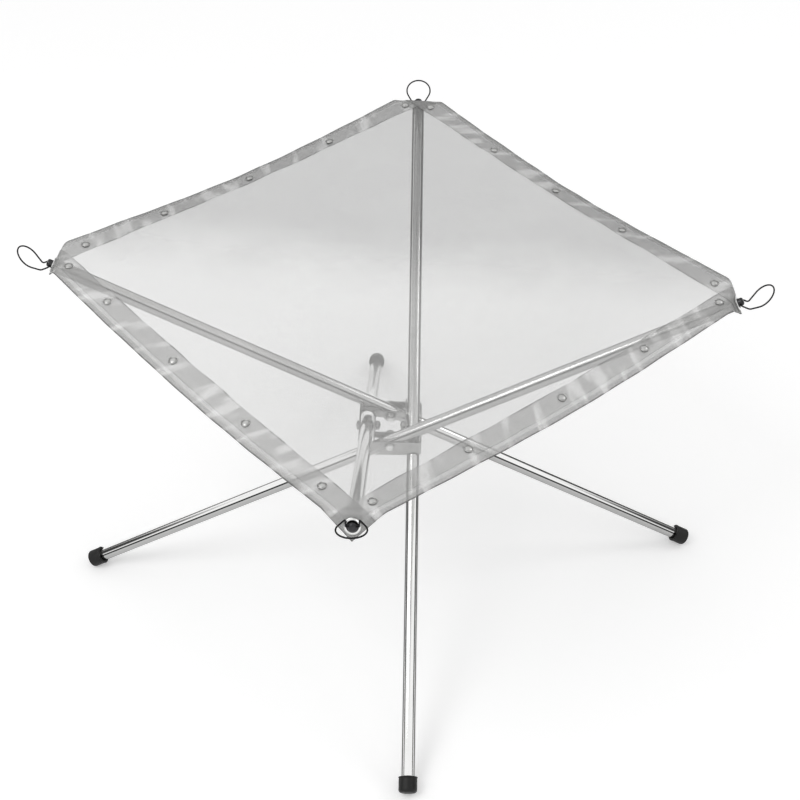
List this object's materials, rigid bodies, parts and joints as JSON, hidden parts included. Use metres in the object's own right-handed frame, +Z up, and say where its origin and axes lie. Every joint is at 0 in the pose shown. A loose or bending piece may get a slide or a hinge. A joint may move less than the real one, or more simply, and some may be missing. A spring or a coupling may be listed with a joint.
{
  "type": "fire pit",
  "caption": "Portable folding fire pit: a square steel gauze sheet with riveted hems, held at its corners by spring clips on crossed tube legs that fold at a pinned hub.",
  "frame": {"origin": "on the ground, below the middle of the hub", "axes": "+Z up; +X, +Y, -X and -Y each point to the tip of one tube"},
  "size_m": [0.8236, 0.8272, 0.4419],
  "materials": {
    "bright_steel": "bright drawn stainless tube and pins",
    "hub_steel": "stamped and riveted sheet steel",
    "steel_gauze": "fine woven stainless gauze, partly see-through",
    "hem_gauze": "folded double gauze, denser and darker than the sheet",
    "eyelet_steel": "polished eyelets, washers and hem rivets",
    "black_rubber": "smooth black rubber",
    "spring_wire": "dark polished spring wire",
    "plug_steel": "turned dark steel"
  },
  "bodies": {
    "hub": {"hub_outer_frame": "hub_steel", "hub_inner_frame": "hub_steel", "leg_pin_right": "bright_steel", "leg_pin_back": "bright_steel", "leg_pin_left": "bright_steel", "leg_pin_front": "bright_steel", "mesh_sheet": "steel_gauze", "hem_back_right": "hem_gauze", "hem_back_left": "hem_gauze", "hem_front_left": "hem_gauze", "hem_front_right": "hem_gauze", "rivet_back_right_1": "eyelet_steel", "rivet_back_right_2": "eyelet_steel", "rivet_back_right_3": "eyelet_steel", "rivet_back_right_4": "eyelet_steel", "rivet_back_right_5": "eyelet_steel", "rivet_back_left_1": "eyelet_steel", "rivet_back_left_2": "eyelet_steel", "rivet_back_left_3": "eyelet_steel", "rivet_back_left_4": "eyelet_steel", "rivet_back_left_5": "eyelet_steel", "rivet_front_left_1": "eyelet_steel", "rivet_front_left_2": "eyelet_steel", "rivet_front_left_3": "eyelet_steel", "rivet_front_left_4": "eyelet_steel", "rivet_front_left_5": "eyelet_steel", "rivet_front_right_1": "eyelet_steel", "rivet_front_right_2": "eyelet_steel", "rivet_front_right_3": "eyelet_steel", "rivet_front_right_4": "eyelet_steel", "rivet_front_right_5": "eyelet_steel"},
    "leg_right": {"leg_tube_right": "bright_steel", "foot_cap_right": "black_rubber", "tip_plug_right": "plug_steel", "corner_eyelet_right": "eyelet_steel", "eyelet_washer_right": "eyelet_steel"},
    "leg_back": {"leg_tube_back": "bright_steel", "foot_cap_back": "black_rubber", "tip_plug_back": "plug_steel", "corner_eyelet_back": "eyelet_steel", "eyelet_washer_back": "eyelet_steel"},
    "leg_left": {"leg_tube_left": "bright_steel", "foot_cap_left": "black_rubber", "tip_plug_left": "plug_steel", "corner_eyelet_left": "eyelet_steel", "eyelet_washer_left": "eyelet_steel"},
    "leg_front": {"leg_tube_front": "bright_steel", "foot_cap_front": "black_rubber", "tip_plug_front": "plug_steel", "corner_eyelet_front": "eyelet_steel", "eyelet_washer_front": "eyelet_steel"},
    "clip_right": {"spring_clip_right": "spring_wire"},
    "clip_back": {"spring_clip_back": "spring_wire"},
    "clip_left": {"spring_clip_left": "spring_wire"},
    "clip_front": {"spring_clip_front": "spring_wire"}
  },
  "joints": [
    {"name": "leg_fold_right", "type": "hinge", "parent": "hub", "child": "leg_right", "pos_m": [0, -0.027, 0.2128], "axis": [0, -1, 0], "range_deg": [0, 60], "deforming": ["mesh_sheet", "hem_back_right", "hem_back_left", "hem_front_left", "hem_front_right", "rivet_back_right_1", "rivet_back_right_2", "rivet_back_right_3", "rivet_back_right_4", "rivet_back_right_5", "rivet_back_left_1", "rivet_back_left_2", "rivet_back_left_3", "rivet_back_left_4", "rivet_back_left_5", "rivet_front_left_1", "rivet_front_left_2", "rivet_front_left_3", "rivet_front_left_4", "rivet_front_left_5", "rivet_front_right_1", "rivet_front_right_2", "rivet_front_right_3", "rivet_front_right_4", "rivet_front_right_5"]},
    {"name": "leg_fold_back", "type": "hinge", "parent": "hub", "child": "leg_back", "pos_m": [0.027, 0, 0.2128], "axis": [1, 0, 0], "range_deg": [0, 60], "deforming": ["mesh_sheet", "hem_back_right", "hem_back_left", "hem_front_left", "hem_front_right", "rivet_back_right_1", "rivet_back_right_2", "rivet_back_right_3", "rivet_back_right_4", "rivet_back_right_5", "rivet_back_left_1", "rivet_back_left_2", "rivet_back_left_3", "rivet_back_left_4", "rivet_back_left_5", "rivet_front_left_1", "rivet_front_left_2", "rivet_front_left_3", "rivet_front_left_4", "rivet_front_left_5", "rivet_front_right_1", "rivet_front_right_2", "rivet_front_right_3", "rivet_front_right_4", "rivet_front_right_5"]},
    {"name": "leg_fold_left", "type": "hinge", "parent": "hub", "child": "leg_left", "pos_m": [0, 0.027, 0.2128], "axis": [0, 1, 0], "range_deg": [0, 60], "deforming": ["mesh_sheet", "hem_back_right", "hem_back_left", "hem_front_left", "hem_front_right", "rivet_back_right_1", "rivet_back_right_2", "rivet_back_right_3", "rivet_back_right_4", "rivet_back_right_5", "rivet_back_left_1", "rivet_back_left_2", "rivet_back_left_3", "rivet_back_left_4", "rivet_back_left_5", "rivet_front_left_1", "rivet_front_left_2", "rivet_front_left_3", "rivet_front_left_4", "rivet_front_left_5", "rivet_front_right_1", "rivet_front_right_2", "rivet_front_right_3", "rivet_front_right_4", "rivet_front_right_5"]},
    {"name": "leg_fold_front", "type": "hinge", "parent": "hub", "child": "leg_front", "pos_m": [-0.027, 0, 0.2128], "axis": [-1, 0, 0], "range_deg": [0, 60], "deforming": ["mesh_sheet", "hem_back_right", "hem_back_left", "hem_front_left", "hem_front_right", "rivet_back_right_1", "rivet_back_right_2", "rivet_back_right_3", "rivet_back_right_4", "rivet_back_right_5", "rivet_back_left_1", "rivet_back_left_2", "rivet_back_left_3", "rivet_back_left_4", "rivet_back_left_5", "rivet_front_left_1", "rivet_front_left_2", "rivet_front_left_3", "rivet_front_left_4", "rivet_front_left_5", "rivet_front_right_1", "rivet_front_right_2", "rivet_front_right_3", "rivet_front_right_4", "rivet_front_right_5"]},
    {"name": "clip_swing_right", "type": "hinge", "parent": "leg_right", "child": "clip_right", "pos_m": [0.37768, -0.027, 0.42214], "axis": [0, -1, 0], "range_deg": [0, 90]},
    {"name": "clip_swing_back", "type": "hinge", "parent": "leg_back", "child": "clip_back", "pos_m": [0.027, 0.37768, 0.42214], "axis": [1, 0, 0], "range_deg": [0, 100]},
    {"name": "clip_swing_left", "type": "hinge", "parent": "leg_left", "child": "clip_left", "pos_m": [-0.37768, 0.027, 0.42214], "axis": [0, 1, 0], "range_deg": [0, 90]},
    {"name": "clip_swing_front", "type": "hinge", "parent": "leg_front", "child": "clip_front", "pos_m": [-0.027, -0.37768, 0.42214], "axis": [-1, 0, 0], "range_deg": [-60, 40]}
  ],
  "couplings": [
    {"joint": "leg_fold_back", "follows": "leg_fold_right", "ratio": 1},
    {"joint": "leg_fold_left", "follows": "leg_fold_right", "ratio": 1},
    {"joint": "leg_fold_front", "follows": "leg_fold_right", "ratio": 1}
  ]
}
